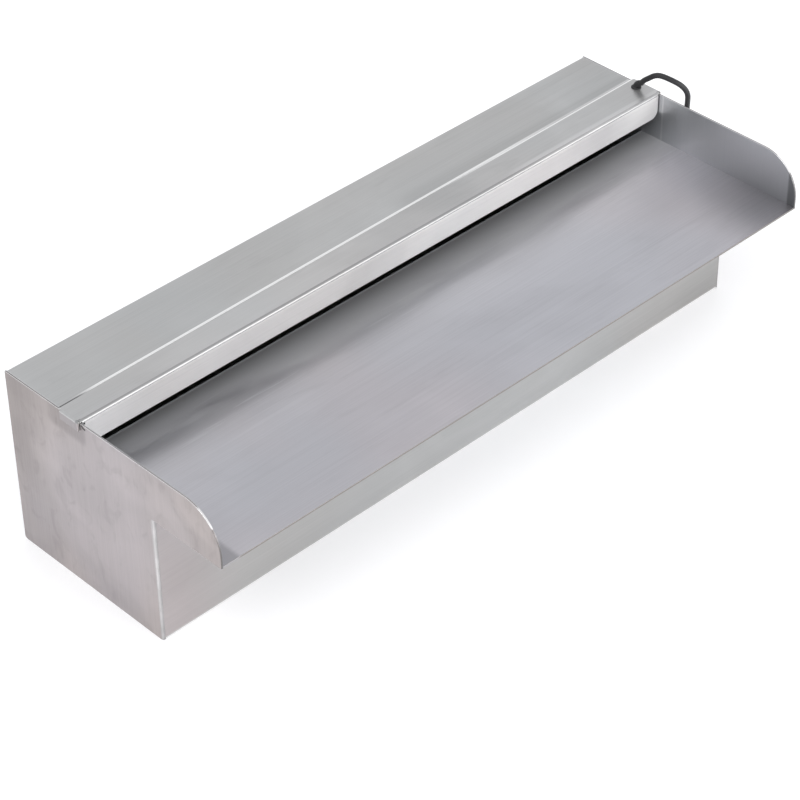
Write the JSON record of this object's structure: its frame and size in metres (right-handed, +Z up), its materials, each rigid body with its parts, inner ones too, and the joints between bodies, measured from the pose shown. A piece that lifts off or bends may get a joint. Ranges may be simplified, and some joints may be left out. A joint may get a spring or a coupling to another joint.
{
  "type": "water blade",
  "caption": "Stainless-steel water blade: a folded tank with a wide spill lip between cheeks, a hose stub behind, and a lift-off cover that holds a light tube over the slot.",
  "frame": {"origin": "on the floor under the tank, in the middle of the blade's length and of its depth from the lip to the end of the inlet stub", "axes": "+X along the blade towards the end that the lead leaves, +Y from the lip towards the back wall and inlet, +Z up"},
  "size_m": [0.619, 0.3002, 0.1776],
  "materials": {
    "tank_steel": "brushed along the blade",
    "panel_steel": "fine brushed, slightly warm and clouded",
    "floor_steel": "satin, brushed along the blade, with faint rubbing marks",
    "weld_steel": "ground bright",
    "pipe_steel": "drawn tube, satin",
    "inner_steel": "mill finish",
    "cover_steel": "brushed, with bright folds",
    "clip_steel": "spring steel, plain",
    "clear_tube": "clear acrylic",
    "black_plastic": "moulded, fine texture",
    "connector_black": "moulded, ribbed nut",
    "seal_rubber": "silicone",
    "gland_rubber": "moulded rubber",
    "lead_black": "smooth soft sheath with a low sheen",
    "strip_white": "white coated circuit",
    "chip_yellow": "phosphor under clear gel",
    "resistor_black": "plain",
    "wire_red": "insulated cores",
    "tie_white": "nylon",
    "pin_brass": "plain"
  },
  "bodies": {
    "tank": {"tank_shell": "tank_steel", "left_end_panel": "panel_steel", "right_end_panel": "panel_steel", "spill_floor": "floor_steel", "corner_welds": "weld_steel", "inlet_stub": "pipe_steel", "baffle_plate": "inner_steel", "baffle_brackets": "inner_steel", "lead_lower": "lead_black", "lead_coil": "lead_black", "coil_tie": "tie_white", "lead_tail": "lead_black", "connector_boot": "gland_rubber", "connector_body": "connector_black", "connector_nut": "connector_black", "connector_pins": "pin_brass"},
    "cover": {"light_cover": "cover_steel", "light_tube": "clear_tube", "left_tube_cap": "black_plastic", "right_tube_cap": "black_plastic", "cap_seals": "seal_rubber", "led_strip": "strip_white", "led_chips": "chip_yellow", "led_resistors": "resistor_black", "solder_wires": "wire_red", "tube_clips": "clip_steel", "lead_gland": "gland_rubber", "inner_lead": "lead_black", "lead_upper": "lead_black"}
  },
  "joints": [
    {"name": "cover_lift", "type": "slide", "parent": "tank", "child": "cover", "axis": [0, 0, 1], "range_m": [0, 0.04]}
  ]
}
